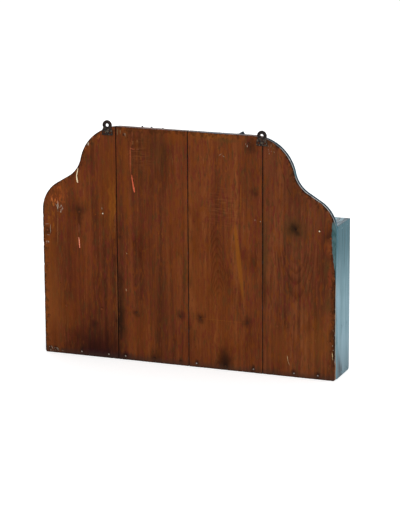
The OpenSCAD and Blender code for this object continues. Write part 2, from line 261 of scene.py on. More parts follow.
# Points of a CAD mesh that lie this close are one point, in metres
MERGE = 1e-6
# Points of a mesh that lie this close to a cutting plane lie on it, in metres
ON_PLANE = 1e-7
# Edges are sharp from this angle on, and a chain of them up to this size is the rim of a nail's hole
SHARP = math.radians(35)
HOLE_SIZE = 8


def merged_form(node):
    """The mesh of a CAD node with its doubled points merged."""
    form = bmesh.new()
    form.from_mesh(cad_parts[node].data)
    bmesh.ops.remove_doubles(form, verts=form.verts, dist=MERGE)
    return form


def islands(form):
    """The loose parts of a mesh, each as a list of its points."""
    left, found = set(form.verts), []
    while left:
        todo, points = [left.pop()], []
        while todo:
            vert = todo.pop()
            points.append(vert.co.copy())
            near = {e.other_vert(vert) for e in vert.link_edges} & left
            left -= near
            todo += near
        found.append(points)
    return found


def nail_places(node, axes=(0, 2)):
    """The middle of each nail of a CAD node along two axes: x and z for the nails that lie along Y."""
    form = merged_form(node)
    places = []
    for points in islands(form):
        places.append(tuple((min(p[k] for p in points) + max(p[k] for p in points)) / 2 / MM for k in axes))
    form.free()
    return sorted(places)


PAINT_TEAL = srgb(98, 139, 151)
PAINT_BLUE = srgb(130, 164, 178)
PAINT_PALE = srgb(166, 188, 196)
PAINT_DEEP = srgb(36, 78, 88)
GRIME = srgb(130, 118, 102)
DUST = srgb(70, 72, 66)
RAW_WOOD = srgb(112, 88, 66)
OLD_WOOD = srgb(66, 44, 32)


def old_paint(look, along, wear=1.0, streaks=1.0):
    """Old blue paint, brushed along an axis and worn through: sets the colour, gives roughness and height."""
    patch = look.drawn(0.030, 0.008, along, detail=4)
    brush = look.drawn(0.75, 0.012, along, detail=3)
    streak = look.drawn(0.16, 0.004, along, detail=3)
    run = look.drawn(0.38, 0.007, along, detail=2)
    look.colour = look.mix(look.band(patch, 0.36, 0.62), PAINT_TEAL, PAINT_BLUE)
    look.coat(PAINT_DEEP, look.band(streak, 0.5, 0.68, 0.0, 0.5 * streaks))
    look.coat(PAINT_PALE, look.band(run, 0.56, 0.72, 0.0, 0.42))
    look.coat(PAINT_PALE, look.band(brush, 0.42, 0.68, 0.0, 0.28))
    grime = look.drawn(0.06, 0.03, along, detail=5, roughness=0.62)
    look.coat(GRIME, look.band(grime, 0.52, 0.72, 0.0, 0.55 * streaks), kind="MULTIPLY")
    edge = look.edge(9.0)
    chip = look.drawn(0.16, 0.07, along, detail=6, roughness=0.66)
    worn = look.plus(chip, look.times(edge, 0.9 * wear))
    look.coat(PAINT_PALE, look.band(worn, 0.66, 0.74, 0.0, 0.8))
    bare = look.band(worn, 0.77, 0.82)
    wood = look.mix(look.band(brush, 0.35, 0.65), OLD_WOOD, RAW_WOOD)
    look.coat(wood, bare)
    roughness = look.band(look.plus(brush, look.times(bare, 0.5)), 0.3, 1.0, 0.42, 0.78)
    height = look.plus(look.times(brush, 0.5), look.times(bare, -0.8))
    return roughness, height


def painted_wood(name, along, wear=1.0, dirt=0.0):
    """Old paint, and dirt of some strength on what faces up."""
    look = Look(name)
    roughness, height = old_paint(look, along, wear)
    if dirt:
        settled = look.drawn(0.1, 0.03, along, detail=5, roughness=0.6)
        share = look.times(look.band(look.facing(2), 0.6, 0.9), look.band(settled, 0.3, 0.6, 0.35, 1.0), dirt)
        look.coat(DUST, share)
    return look.finish(roughness, height, depth=0.25, specular=0.25)


SIDE_TOP = srgb(34, 48, 60)
SIDE_SHADE = srgb(58, 104, 116)
# Rust round the nails, and the painted shade inside the cracks
RUST_AND_CRACK_SHADE = srgb(30, 32, 38)
FOOT_GREY = srgb(84, 100, 108)
# The nails of a side panel below this height stained it more
FOOT_NAILS_Z = 50
# Rust at and under each nail of a side panel: how far below the nail, half depth, half height
NAIL_STAINS = ((0, 4.5, 5.5), (13, 2.2, 15))
# Cracks in the foot of a side panel, drawn only as dark streaks of painted shade: share of its depth, z, half
# depth, half height, strength
CRACKS = ((0.8, 18, 12, 36, 1.0), (0.66, 10, 12, 26, 1.0), (0.9, 30, 10, 40, 0.6))


def painted_side(node):
    """A side panel: brushed upright, darker at the top, with rust round its nails and its foot's cracks as
    painted shade.
    """
    look = Look("paint_" + node)
    low, high = box_mm(node)
    look.warp(1.6, 0.35)
    roughness, height = old_paint(look, "z", wear=0.4, streaks=0.25)
    z = look.part(2)
    cloud = look.drawn(0.03, 0.01, detail=4)
    shade = look.band(look.scaled(cloud, 60.0, z), high.z - 120, high.z + 10, 0.0, 0.85)
    look.coat(SIDE_SHADE, shade)
    stripe = look.drawn(0.45, 0.006, detail=3)
    look.coat(PAINT_DEEP, look.band(stripe, 0.48, 0.6), shade)
    outer = look.band(look.math("ABSOLUTE", look.facing(0)), 0.6, 0.9)
    rim = look.edge(1.4)
    dark_rim = look.times(look.band(rim, 0.05, 0.3), look.band(z, 60.0, 200.0, 0.2, 0.75))
    look.coat(PAINT_DEEP, dark_rim)
    from_front = look.minus(look.part(1), low.y)
    front_line = look.times(look.band(from_front, 7.0, 3.0), look.band(z, 90.0, 170.0, 0.0, 0.6))
    look.coat(PAINT_DEEP, front_line)
    for nail_y, nail_z in nail_places(node.replace("side_panel", "nails_through"), (1, 2)):
        strength = 0.7 if nail_z < FOOT_NAILS_Z else 0.2
        for drop, half_d, half_h in NAIL_STAINS:
            rust = look.spot(look.warped, (0, nail_y, nail_z - drop), (0, half_d, half_h))
            look.coat(RUST_AND_CRACK_SHADE, rust, outer, strength)
    # The cracks are dark streaks of painted shade, broken up along the grain
    split = look.band(stripe, 0.36, 0.52, 0.3, 1.0)
    for share, crack_z, half_d, half_h, strength in CRACKS:
        crack_y = low.y + share * (high.y - low.y)
        crack = look.spot(look.warped, (0, crack_y, crack_z), (0, half_d, half_h))
        look.coat(RUST_AND_CRACK_SHADE, crack, outer, split, strength)
    foot = look.band(look.scaled(cloud, 24.0, z), 110.0, 14.0, 0.0, 0.45)
    look.coat(FOOT_GREY, foot)
    brushed = look.drawn(0.25, 0.02, "y", detail=4)
    top = look.mix(look.band(brushed, 0.48, 0.7), SIDE_TOP, PAINT_BLUE)
    top = look.mix(look.band(rim, 0.03, 0.2), top, SIDE_SHADE)
    upward = look.band(look.facing(2), 0.7, 0.95)
    look.coat(top, upward, 0.75)
    return look.finish(roughness, height, depth=0.25, specular=0.25)


# How one plank was cut: x of its heart and how deep that lies, how far the depth grows with z, how far
# apart its rings are and how strongly they show, its colours from dark to light, a knot as x, z, half
# width, half height and how far it pulls the rings, and from which z on, and how much, they turn
Plank = namedtuple("Plank", "heart depth lean ring contrast tones knot turn", defaults=(None, None))
DARK_RED = [srgb(77, 38, 20), srgb(96, 47, 24), srgb(111, 55, 27), srgb(127, 68, 33)]
BROWN = [srgb(78, 39, 22), srgb(96, 48, 25), srgb(110, 55, 28), srgb(126, 68, 34)]
GREYISH = [srgb(76, 41, 25), srgb(95, 50, 29), srgb(111, 59, 33), srgb(128, 72, 39)]
ORANGE = [srgb(89, 44, 23), srgb(106, 53, 27), srgb(118, 61, 31), srgb(134, 76, 39)]
CUTS = {
    "back_plank_1": Plank(heart=250, depth=70, lean=0.02, ring=8, contrast=0.3, tones=DARK_RED),
    "back_plank_2": Plank(heart=60, depth=80, lean=-0.03, ring=8, contrast=0.3, tones=BROWN),
    "back_plank_3": Plank(heart=-69, depth=14, lean=0.10, ring=1.6, contrast=0.6, tones=ORANGE),
    "back_plank_4": Plank(heart=-240, depth=30, lean=0.02, ring=11, contrast=0.5, tones=GREYISH,
                          knot=(-233, 308, 60, 165, 60), turn=(360, 0.5)),
}

GOLD = srgb(134, 76, 22)
AMBER = srgb(118, 60, 17)
RED = srgb(84, 34, 12)
UMBER = srgb(54, 30, 13)
PURPLE = srgb(36, 13, 12)
MOSS = srgb(62, 48, 24)
SOOT = srgb(24, 16, 13)
REDDISH = srgb(101, 41, 30)
OLIVE = srgb(80, 56, 28)
TAN = srgb(128, 70, 28)
FOOT_DARK = srgb(60, 44, 36)
RIM_PALE = srgb(126, 98, 76)
PALE_FIBRE = srgb(150, 98, 58)
VIOLET = srgb(38, 16, 26)
RED_BAND = srgb(116, 52, 28)
RUST_BAND = srgb(138, 72, 32)
RING_SHADE = srgb(168, 150, 142)
FIBRE_SHADE = srgb(186, 172, 166)
MOTTLE_SHADE = srgb(190, 176, 170)
RUST_ORANGE = srgb(160, 80, 34)
FRESH_ORANGE = srgb(186, 106, 54)
BONE = srgb(196, 184, 162)
CREAM = srgb(226, 200, 150)
CORAL = srgb(200, 110, 84)
EDGE_SLOP = srgb(54, 88, 90)
MOSS_PALE = srgb(134, 112, 80)
SLOP_PALE = srgb(78, 108, 112)
GHOST_TOP = srgb(158, 84, 54)
GHOST_NECK = srgb(150, 74, 42)
GHOST_LONG = srgb(146, 70, 40)
GHOST_BAR = srgb(150, 90, 66)
# Where the four tones of a plank lie along the noise that picks them
TONE_PLACES = (0.34, 0.45, 0.54, 0.66)
# Soft patches of other hues in the wood: colour, strength
HUES = ((REDDISH, 0.75), (OLIVE, 0.6), (AMBER, 0.55))
# Places with fine ripples across the grain: x, z, half width, half height
RIPPLES = [(-76, 340, 60, 60), (100, 436, 40, 60)]
# Dirt round a nail of the bottom row: half width, half height, strength
NAIL_HALO = (9.0, 13.0, 0.7)
# How many times its half sizes a stain and a scuff reach
STAIN_SPREAD = 1.25
SCUFF_SPREAD = 1.2
# Large soft stains and fadings of the bare back: x, z, half width, half height, colour, strength
STAINS = [
    (306, 100, 40, 150, TAN, 0.6), (306, 240, 22, 80, AMBER, 0.5), (246, 170, 34, 170, RED, 0.35),
    (170, 365, 26, 130, AMBER, 0.5), (196, 40, 74, 95, PURPLE, 0.36), (203, 16, 66, 50, PURPLE, 0.8),
    (175, 3, 96, 16, VIOLET, 0.85), (262, 88, 24, 44, AMBER, 0.45), (300, 40, 16, 40, RED, 0.45),
    (236, 312, 20, 22, SOOT, 0.55), (236, 292, 6, 30, SOOT, 0.4), (205, 70, 10, 12, SOOT, 0.5),
    (309, 263, 10, 14, SOOT, 0.7), (148, 96, 5, 92, SOOT, 0.65), (147, 263, 6, 9, SOOT, 0.45),
    (146, 168, 9, 22, SOOT, 0.4), (147, 83, 9, 40, SOOT, 0.7), (213, 236, 9, 74, RED_BAND, 0.5),
    (166, 322, 5, 80, GOLD, 0.6), (-305, 276, 8, 20, RUST_BAND, 0.6), (-310, 214, 7, 26, RED_BAND, 0.7),
    (-300, 232, 6, 30, OLIVE, 0.7), (-303, 160, 9, 26, OLIVE, 0.6), (-311, 130, 7, 24, RUST_BAND, 0.5),
    (144, 110, 10, 90, UMBER, 0.6), (318, 26, 4, 46, SOOT, 0.8), (230, 440, 26, 20, AMBER, 0.5),
    (76, 462, 64, 40, UMBER, 0.35), (98, 395, 34, 70, UMBER, 0.3), (56, 440, 22, 60, MOSS, 0.25),
    (3, 200, 5, 60, MOSS, 0.6), (159, 330, 4, 70, GOLD, 0.7), (130, 350, 8, 70, AMBER, 0.5),
    (58, 130, 30, 140, UMBER, 0.35), (100, 60, 34, 80, AMBER, 0.35), (22, 480, 40, 26, AMBER, 0.5),
    (134, 440, 14, 90, AMBER, 0.45), (112, 102, 10, 13, SOOT, 0.55), (13, 107, 13, 13, SOOT, 0.55),
    (68, 8, 26, 30, UMBER, 0.5), (26, 280, 20, 180, AMBER, 0.3), (92, 250, 24, 80, RED, 0.3),
    (-60, 140, 50, 160, AMBER, 0.35), (-20, 240, 26, 230, AMBER, 0.25), (-148, 375, 10, 12, SOOT, 0.5),
    (-30, 105, 13, 15, SOOT, 0.6), (-132, 105, 13, 15, SOOT, 0.55), (-140, 470, 18, 20, SOOT, 0.6),
    (-136, 400, 20, 90, UMBER, 0.3), (-84, 20, 22, 36, SOOT, 0.9), (-56, 486, 60, 12, GOLD, 0.5),
    (-90, 479, 34, 7, OLIVE, 0.6), (-100, 60, 50, 60, AMBER, 0.25), (-12, 20, 30, 30, RED, 0.3),
    (-234, 308, 32, 32, OLIVE, 0.6), (-234, 308, 24, 24, UMBER, 0.5), (-232, 310, 13, 13, SOOT, 0.6),
    (-239, 301, 7, 9, SOOT, 0.5), (-171, 260, 9, 110, MOSS, 0.5), (-282, 84, 40, 80, GOLD, 0.3),
    (-200, 60, 34, 70, AMBER, 0.4), (-315, 110, 8, 110, UMBER, 0.65), (-232, 390, 40, 60, UMBER, 0.3),
    (-304, 300, 14, 20, SOOT, 0.45), (-288, 230, 20, 90, RED, 0.3), (-175, 480, 22, 12, SOOT, 0.4),
]
# Rubbed and spattered places, broken up into flecks: as the stains, and the share that they cover
SCUFFS = [
    (286, 342, 42, 34, RUST_ORANGE, 0.6, 0.5), (296, 322, 18, 18, FRESH_ORANGE, 0.8, 0.4),
    (222, 460, 24, 26, RUST_ORANGE, 0.6, 0.4), (300, 295, 14, 50, GOLD, 0.6, 0.45),
    (262, 350, 26, 22, MOSS, 0.5, 0.4), (222, 445, 10, 22, BONE, 0.5, 0.2),
    (194, 478, 18, 18, RUST_ORANGE, 0.7, 0.5), (192, 472, 12, 12, FRESH_ORANGE, 0.55, 0.28),
    (302, 6, 22, 8, BONE, 0.6, 0.35), (216, 453, 9, 8, BONE, 0.8, 0.5),
    (-184, 468, 14, 22, BONE, 0.5, 0.25), (-161, 322, 9, 9, BONE, 0.6, 0.35),
    (-316, 72, 6, 40, SOOT, 0.9, 0.6), (118, 470, 22, 26, UMBER, 0.5, 0.4),
    (114, 468, 20, 24, PALE_FIBRE, 0.45, 0.3), (-60, 484, 56, 10, UMBER, 0.6, 0.35),
    (230, 446, 18, 14, RUST_ORANGE, 0.7, 0.45), (310, 237, 9, 8, BONE, 0.6, 0.5),
    (282, 312, 16, 14, BONE, 0.6, 0.25), (110, 410, 30, 80, RUST_ORANGE, 0.3, 0.15),
    (-60, 440, 70, 60, GOLD, 0.4, 0.2), (60, 250, 80, 60, GOLD, 0.3, 0.15),
    (-134, 474, 12, 12, BONE, 0.5, 0.2), (134, 478, 8, 8, BONE, 0.3, 0.3),
    (-240, 110, 60, 90, GOLD, 0.3, 0.2),
]
# Scratches and other fine marks, and last the trace of an older drip: from x, z to x, z, half width,
# colour, strength
MARKS = [
    (284.5, 308, 286.7, 232, 0.8, PALE_FIBRE, 0.6), (237.7, 284, 237.7, 262, 0.7, CORAL, 0.4),
    (284, 328, 284.8, 306, 0.9, BONE, 0.6), (290, 322, 284, 311, 0.6, BONE, 0.5),
    (278, 321, 274, 314, 0.6, BONE, 0.35), (274, 314, 277, 307, 0.6, BONE, 0.3),
    (315, 276, 304, 277, 0.5, BONE, 0.4), (311, 254, 303, 253, 0.5, BONE, 0.35),
    (302.5, 277, 302, 256, 0.6, BONE, 0.5), (133, 230, 130, 226, 0.6, CREAM, 0.4),
    (134, 153, 133, 147, 0.6, CREAM, 0.5), (148, 489, 148.5, 474, 1.3, MOSS_PALE, 0.5),
    (142, 487, 142, 477, 1.2, MOSS_PALE, 0.5), (186, 322, 185, 316, 0.8, BONE, 0.3),
    (190, 309, 188, 307, 0.9, RUST_ORANGE, 0.6), (200, 306, 199, 304, 0.7, RUST_ORANGE, 0.5),
    (-218, 44, -219.5, 32, 0.6, CREAM, 0.55), (-219.5, 33, -223, 24, 0.5, CREAM, 0.4),
    (-5, 105, -138, 104, 0.6, GOLD, 0.4), (156.5, 322, 156.8, 262, 0.6, PALE_FIBRE, 0.5),
    (154.6, 220, 154.4, 40, 0.5, PALE_FIBRE, 0.45), (-313.5, 60, -314.5, 44, 0.8, CREAM, 0.8),
    (-315.5, 92, -316, 88, 0.7, BONE, 0.6), (-313.8, 76, -314.6, 72, 0.6, BONE, 0.6),
    (-316, 66, -315.4, 63, 0.7, BONE, 0.6), (-315, 108, -315.2, 104, 0.5, BONE, 0.5),
    (-316.5, 118, -316.3, 70, 1.6, SOOT, 0.8), (-148.5, 322, -149, 318.5, 0.7, BONE, 0.5),
    (-104, 320, -124, 148, 5, GOLD, 0.8), (-119, 395, -118, 325, 1.6, GOLD, 0.5),
    (-198, 455, -206, 428, 1.0, UMBER, 0.5), (-206, 428, -214, 398, 1.0, UMBER, 0.5),
    (-214, 398, -228, 372, 1.1, UMBER, 0.45), (-166.5, 340, -166.8, 180, 0.8, MOSS, 0.7),
    (-78, 452, -72, 447, 0.6, BONE, 0.3), (-84, 445, -79, 448, 0.6, BONE, 0.3),
    (311, 13, 307, 5, 0.8, BONE, 0.6), (306, 14, 302, 7, 0.7, BONE, 0.6),
    (299, 11, 296, 4, 0.8, BONE, 0.55), (293, 9, 289, 4, 0.7, BONE, 0.5), (283, 6, 277, 5, 0.8, BONE, 0.35),
    (221, 450, 217, 456, 1.0, BONE, 0.9), (216.5, 452, 213.5, 459, 0.9, CREAM, 0.85),
    (212, 459, 208, 463, 0.8, CREAM, 0.6),
    (115, 500, 116, 470, 1.4, GHOST_TOP, 0.45), (116, 472, 120, 452, 1.6, GHOST_NECK, 0.4),
    (120.5, 455, 120.7, 392, 2.2, GHOST_LONG, 0.6), (108, 448.4, 100, 448.4, 0.8, GHOST_BAR, 0.5),
]
# How far a fine mark strays from its line
JITTER = 1.2


def stroke(look, where, x1, z1, x2, z2, half_w):
    """1 along the middle of a straight mark on the back, falling to 0 at its rim."""
    middle = Vector(((x1 + x2) / 2, 0, (z1 + z2) / 2))
    half = Vector((x2 - x1, 0, z2 - z1)) / 2
    along = half / half.length_squared
    across = Vector((-half.z, 0, half.x)).normalized() / half_w
    squares = []
    for way in (along, across):
        run = look.vector("DOT_PRODUCT", where, tuple(way), output="Value")
        share = look.minus(run, way.dot(middle))
        squares.append(look.times(share, share))
    return look.band(look.plus(*squares), 1.3, 0.3)


def grain(look, cut):
    """How near a place on a plank is to a dark ring line, from 0 to 1."""
    x, z = look.part(0), look.part(2)
    sway = look.scaled(look.drawn(0.005, 0.005, detail=2), 22.0, -11.0)
    shaken = min(8.0, 2.0 * cut.ring)
    shake = look.scaled(look.drawn(0.05, 0.012, detail=3), shaken, -shaken / 2)
    side = look.plus(look.minus(x, cut.heart), look.plus(sway, shake))
    if cut.turn:
        start, slope = cut.turn
        rise = look.math("MAXIMUM", look.minus(z, start), 0.0)
        side = look.minus(side, look.times(rise, slope))
    depth = look.plus(look.scaled(z, cut.lean, cut.depth), shake)
    radius = look.math("SQRT", look.plus(look.times(side, side), look.times(depth, depth)))
    if cut.knot:
        kx, kz, half_w, half_h, pull = cut.knot
        radius = look.minus(radius, look.times(look.on_back(look.at, kx, kz, half_w, half_h), pull))
    rings = look.math("FRACT", look.math("DIVIDE", radius, cut.ring))
    return look.times(look.band(rings, 0.2, 0.8), look.band(rings, 1.0, 0.85))


def aged_wood(look, cut, late, fibre):
    """A plank's wood, before what was spilt or rubbed on it."""
    tone = look.drawn(0.028, 0.0026, detail=4, roughness=0.55)
    streak = look.drawn(0.14, 0.0035, detail=3, roughness=0.5)
    mottle = look.drawn(0.035, 0.016, detail=4)
    level = look.plus(look.times(tone, 0.5), look.times(streak, 0.5))
    look.colour = look.ramp(level, list(zip(TONE_PLACES, cut.tones)))
    higher = look.band(look.part(2), 230.0, 330.0, 1.0, 0.3)
    faint = look.times(look.band(mottle, 0.35, 0.65, 0.1, 1.0), higher)
    look.coat(RING_SHADE, late, faint, cut.contrast, kind="MULTIPLY")
    patches = look.noise(look.stretched(0.045, 0.011), 5.0, 5.0, output="Color")
    for axis, (tint, strength) in enumerate(HUES):
        look.coat(tint, look.band(look.split(patches, axis), 0.5, 0.68, 0.0, strength))
    scratch = look.drawn(0.8, 0.045, detail=3)
    look.coat(PALE_FIBRE, look.band(scratch, 0.62, 0.72, 0.0, 0.28))
    look.coat(UMBER, look.band(scratch, 0.38, 0.28, 0.0, 0.28))
    look.coat(FIBRE_SHADE, look.band(fibre, 0.38, 0.7, 0.0, 0.3), kind="MULTIPLY")
    look.coat(MOTTLE_SHADE, look.band(mottle, 0.5, 0.75, 0.0, 0.4), kind="MULTIPLY")


def add_stains(look, node):
    """Ripples, stains and the dirt round the bottom nails."""
    ripple = look.drawn(0.34, 0.05, "x", detail=2)
    for x, z, half_w, half_h in RIPPLES:
        near = look.on_back(look.warped, x, z, half_w, half_h)
        look.coat(UMBER, near, look.band(ripple, 0.5, 0.64, 0.0, 0.26))
        look.coat(PALE_FIBRE, near, look.band(ripple, 0.48, 0.36, 0.0, 0.16))
    for x, z, half_w, half_h, tint, strength in STAINS:
        if touches(node, x, half_w):
            near = look.on_back(look.warped, x, z, STAIN_SPREAD * half_w, STAIN_SPREAD * half_h)
            look.coat(tint, near, strength)
    half_w, half_h, strength = NAIL_HALO
    for x, z in nail_places("nails_bottom_row"):
        if touches(node, x):
            near = look.on_back(look.warped, x, z, half_w, half_h)
            look.coat(SOOT, near, strength)


def add_scuffs(look, node, fibre):
    """The flecks of the scuffs, and the fine marks."""
    speckle = look.drawn(0.22, 0.1, detail=5, roughness=0.62)
    for x, z, half_w, half_h, tint, strength, cover in SCUFFS:
        if touches(node, x, half_w):
            near = look.on_back(look.warped, x, z, SCUFF_SPREAD * half_w, SCUFF_SPREAD * half_h)
            dense = look.plus(look.band(near, 0.0, 0.6, 0.0, 0.5), speckle)
            least = 1.0 + (0.5 - cover) * 0.3
            look.coat(tint, look.band(dense, least - 0.02, least + 0.08, 0.0, strength))
    jitter = look.noise(look.at, 0.25, 3)
    shaky = look.vector("MULTIPLY_ADD", jitter, (2 * JITTER,) * 3, look.at)
    shaky = look.vector("SUBTRACT", shaky, (JITTER,) * 3)
    broken = look.band(fibre, 0.3, 0.5, 0.4, 1.0)
    for x1, z1, x2, z2, half_w, tint, strength in MARKS:
        if touches(node, (x1 + x2) / 2):
            share = look.times(stroke(look, shaky, x1, z1, x2, z2, half_w), broken, strength)
            look.coat(tint, share)


def add_dirt_and_rim_shade(look, grime, rubbed):
    """The foot darker towards the bottom, and a rubbed rim along the contour of the back, darkened by dirt
    and painted shade.
    """
    z = look.part(2)
    # The foot is darker towards the bottom
    foot = look.band(look.scaled(grime, 16.0, z), 24.0, 10.0, 0.0, 0.6)
    look.coat(FOOT_DARK, foot)
    from_contour = look.node("ShaderNodeAttribute", {}, "Fac", attribute_name="from_contour")
    zone = look.times(look.band(from_contour, 20.0, 0.0, 0.0, 0.2), look.band(z, 14.0, 34.0))
    look.coat(TAN, look.band(look.plus(zone, rubbed), 0.62, 0.8, 0.0, 0.4))
    look.coat(UMBER, look.band(look.plus(zone, grime), 0.62, 0.76, 0.0, 0.55))
    under_crest = look.band(z, TOP_Z - 14, TOP_Z - 8, 1.0, 0.35)
    over_foot = look.band(z, 22.0, 38.0, 0.3, 1.0)
    # A dark rim along the contour: part dirt, part painted shade on the rounded edge, with pale rubbed flecks
    rim = look.times(look.band(from_contour, 3.4, 1.2), under_crest, over_foot)
    look.coat(SOOT, rim, look.band(grime, 0.4, 0.5), 0.75)
    look.coat(RIM_PALE, rim, look.band(grime, 0.42, 0.34), 0.5)


def add_slop(look, grime, rubbed):
    """Teal paint slopped over the outer edge on to the back."""
    z = look.part(2)
    reach = look.times(look.band(z, 202.0, 290.0, 0.0, 8.0), look.band(z, 345.0, 322.0))
    inward = look.minus(look.plus(look.part(0), HALF_W), reach)
    inward = look.scaled(grime, 7.0, look.minus(inward, 3.5))
    slop = look.times(look.band(inward, 0.9, -0.9), look.band(z, 200.0, 225.0), look.band(z, 338.0, 322.0))
    tint = look.mix(look.band(rubbed, 0.4, 0.6), EDGE_SLOP, SLOP_PALE)
    look.coat(tint, slop, 0.92)


def from_joint(look, joint):
    """How far a place is from the middle of a joint."""
    return look.math("ABSOLUTE", look.minus(look.part(0), joint + JOINT_W / 2))


def bare_wood(look, node):
    """The bare back of a plank: sets the colour and gives roughness and height."""
    late = grain(look, CUTS[node])
    fibre = look.drawn(0.9, 0.014, detail=4, roughness=0.6)
    grime = look.drawn(0.13, 0.1, detail=5, roughness=0.62)
    rubbed = look.drawn(0.11, 0.05, detail=5, roughness=0.62)
    aged_wood(look, CUTS[node], late, fibre)
    add_stains(look, node)
    add_scuffs(look, node, fibre)
    add_dirt_and_rim_shade(look, grime, rubbed)
    if node == SLOP_PLANK:
        add_slop(look, grime, rubbed)
    for joint in JOINTS:
        look.coat(SOOT, look.band(from_joint(look, joint), 1.7, 0.9, 0.0, 0.45))
    return look.band(fibre, 0.3, 0.7, 0.46, 0.66), look.minus(fibre, look.times(late, 0.3))


EDGE_PALE = srgb(180, 180, 178)
EDGE_DARK = srgb(8, 26, 36)
EDGE_TEAL = srgb(54, 88, 104)
CREST_BROWN = srgb(114, 88, 80)
CREST_DULL = srgb(74, 54, 46)
CREST_BLUE = srgb(84, 98, 108)
EDGE_BARE = srgb(146, 140, 128)
CORNER_TAN = srgb(140, 98, 68)


def upper_edge(look, behind, rubbed):
    """The colour of the sawn edges that face up: a pale line along the ogee's slopes, and the flat crest."""
    slope = look.mix(look.band(behind, 9.0, 11.5, 0.0, 0.8), EDGE_DARK, EDGE_TEAL)
    spared = look.band(look.part(0), -186.0, -214.0, 0.25, 1.0)
    pale_line = look.times(spared, look.band(behind, 1.8, 2.8), look.band(behind, 6.2, 5.0),
                           look.band(rubbed, 0.36, 0.56, 0.45, 0.92))
    slope = look.mix(pale_line, slope, EDGE_PALE)
    slope = look.mix(look.band(behind, 2.2, 1.2, 0.0, 0.6), slope, SOOT)
    crest = look.mix(look.band(rubbed, 0.44, 0.56), CREST_BROWN, CREST_DULL)
    dusty = look.drawn(0.2, 0.025, "x", detail=4)
    blue = look.times(look.spot(look.at, (-66, 0, 0), (96, 0, 0)), look.band(dusty, 0.4, 0.56, 0.3, 1.0))
    crest = look.mix(blue, crest, CREST_BLUE)
    return look.mix(look.band(look.facing(2), 0.93, 0.98), slope, crest)


def upright_edge(look, node, behind, ragged):
    """The colour of the sawn edges at the sides: paint, bare or slopped over near the back's corner."""
    z = look.part(2)
    edge = look.mix(look.band(z, 190.0, 290.0, 0.0, 0.8), look.colour, SIDE_SHADE)
    corner = look.mix(look.band(z, 60.0, 30.0), EDGE_BARE, CORNER_TAN)
    corner = look.mix(look.band(z, 190.0, 215.0), corner, EDGE_SLOP)
    wider = look.plus(behind, look.band(z, 60.0, 30.0, 0.0, -2.0))
    near = look.times(look.band(wider, 6.0, 4.4), look.band(ragged, 0.3, 0.55, 0.4, 1.0))
    edge = look.mix(near, edge, corner)
    # On the first plank's outer edge umber darkens a band next to the back: part dirt, part painted shade
    # along the outline
    if node == PLANKS[0]:
        edge = look.mix(look.band(behind, 4.4, 2.6, 0.0, 0.95), edge, UMBER)
    return look.mix(look.band(behind, 1.8, 1.0, 0.0, 0.6), edge, UMBER)


def joint_gap(look, node, behind):
    """1 in the open joints beside a plank, but not on its front."""
    gap = 0.0
    for joint in JOINTS:
        if touches(node, joint, 6):
            gap = look.math("MAXIMUM", gap, look.band(from_joint(look, joint), 1.6, 0.9))
    front = look.band(look.facing(1), -0.5, -0.8)
    return look.times(gap, look.minus(1.0, front), look.band(behind, 0.4, 2.0))


def plank_wood(node):
    """Bare behind, painted in front and on the sawn edges."""
    look = Look("wood_" + node)
    look.warp(9.0, 0.06)
    bare_roughness, bare_height = bare_wood(look, node)
    bare = look.colour
    roughness, height = old_paint(look, "z", wear=0.6)
    ragged = look.drawn(0.3, 0.08, detail=4)
    rubbed = look.drawn(0.12, 0.06, detail=5, roughness=0.62)
    behind = look.plus(look.minus(BACK_Y, look.part(1)), look.scaled(ragged, 3.0, -1.5))
    upward = look.band(look.facing(2), 0.1, 0.45)
    sawn = look.band(look.math("ABSOLUTE", look.facing(1)), 0.8, 0.6)
    edges = look.mix(upward, upright_edge(look, node, behind, ragged), upper_edge(look, behind, rubbed))
    look.coat(edges, sawn)
    painted = look.times(look.band(behind, 0.4, 1.2), look.band(look.facing(1), 0.9, 0.7))
    look.colour = look.mix(painted, bare, look.colour)
    look.coat(SOOT, joint_gap(look, node, behind))
    roughness = look.blend(painted, bare_roughness, roughness)
    height = look.blend(painted, bare_height, height)
    return look.finish(roughness, height, depth=0.22, specular=0.03)


SILVER = srgb(226, 232, 233)
SILVER_HAZE = srgb(196, 196, 184)
FOXED = srgb(92, 82, 70)


def mirror_silver():
    """Silvered glass, foxed along its edges."""
    look = Look("mirror_silver")
    low, high = box_mm("mirror_glass")
    from_middle = look.vector("ABSOLUTE", look.vector("SUBTRACT", look.at, tuple((low + high) / 2)))
    inset = look.vector("SUBTRACT", tuple((high - low) / 2), from_middle)
    from_edge = look.math("MINIMUM", look.split(inset, 0), look.split(inset, 2))
    cloud = look.noise(look.at, 0.05, 5, 0.6)
    speck = look.noise(look.at, 0.35, 4, 0.7)
    uneven = look.plus(look.times(cloud, 0.55), look.times(speck, 0.45))
    foxing = look.plus(look.band(from_edge, 16.0, 0.0, 0.0, 0.42), uneven)
    spots = look.band(foxing, 0.86, 0.98)
    haze = look.band(foxing, 0.62, 0.95)
    look.colour = look.mix(spots, look.mix(haze, SILVER, SILVER_HAZE), FOXED)
    roughness = look.plus(look.times(haze, 0.08), look.scaled(spots, 0.5, 0.025))
    return look.finish(roughness, cloud, depth=0.004, metallic=1.0)


SHEET_DARK = srgb(104, 80, 60)
SHEET_PALE = srgb(146, 120, 92)


def backing_sheet():
    """A thin brown sheet behind the glass."""
    look = Look("backing_sheet")
    fleck = look.noise(look.at, 0.6, 6, 0.7)
    look.colour = look.ramp(fleck, [(0.35, SHEET_DARK), (0.65, SHEET_PALE)])
    return look.finish(look.band(fleck, 0.3, 0.7, 0.7, 0.85), fleck, depth=0.1, specular=0.2)


IRON_BLACK = srgb(22, 17, 17)
IRON_GREY = srgb(42, 34, 33)
IRON_RUST = srgb(66, 40, 28)
IRON_DUST = srgb(104, 94, 78)
IRON_BRIGHT = srgb(92, 84, 82)


